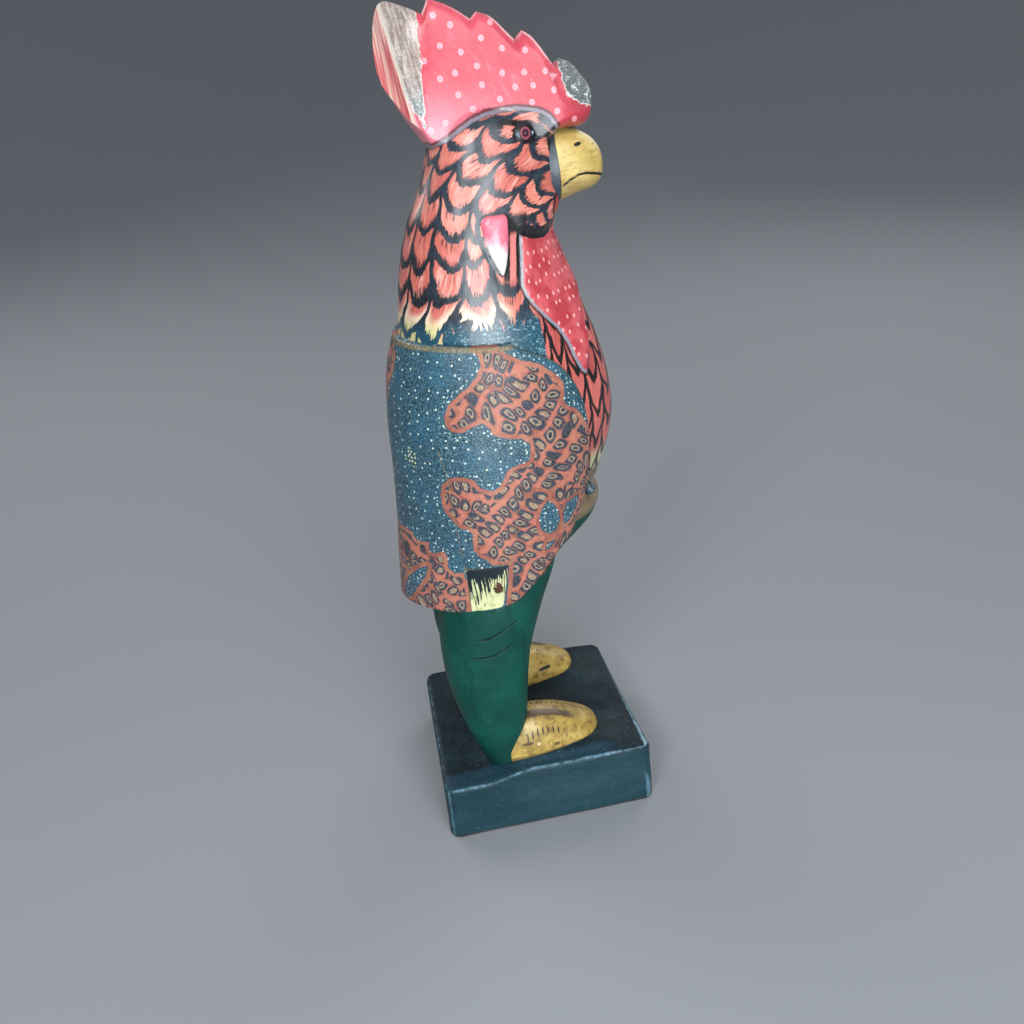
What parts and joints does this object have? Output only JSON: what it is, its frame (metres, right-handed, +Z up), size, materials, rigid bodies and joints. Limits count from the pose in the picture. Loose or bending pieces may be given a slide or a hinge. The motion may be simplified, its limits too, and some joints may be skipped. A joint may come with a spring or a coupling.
{
  "type": "wooden rooster figurine",
  "caption": "Carved and painted wooden rooster that stands upright in a patterned coat, trousers and shoes on a square block",
  "frame": {"origin": "middle of the block's flat underside, on the surface that it stands on", "axes": "+Z up, -Y the way the rooster faces, +X its left side"},
  "size_m": [0.11, 0.127, 0.4158],
  "materials": {
    "painted_wood": "hand-painted in many colours, satin, worn along the edges"
  },
  "bodies": {
    "root": {"rooster_figurine": "painted_wood"}
  },
  "joints": []
}
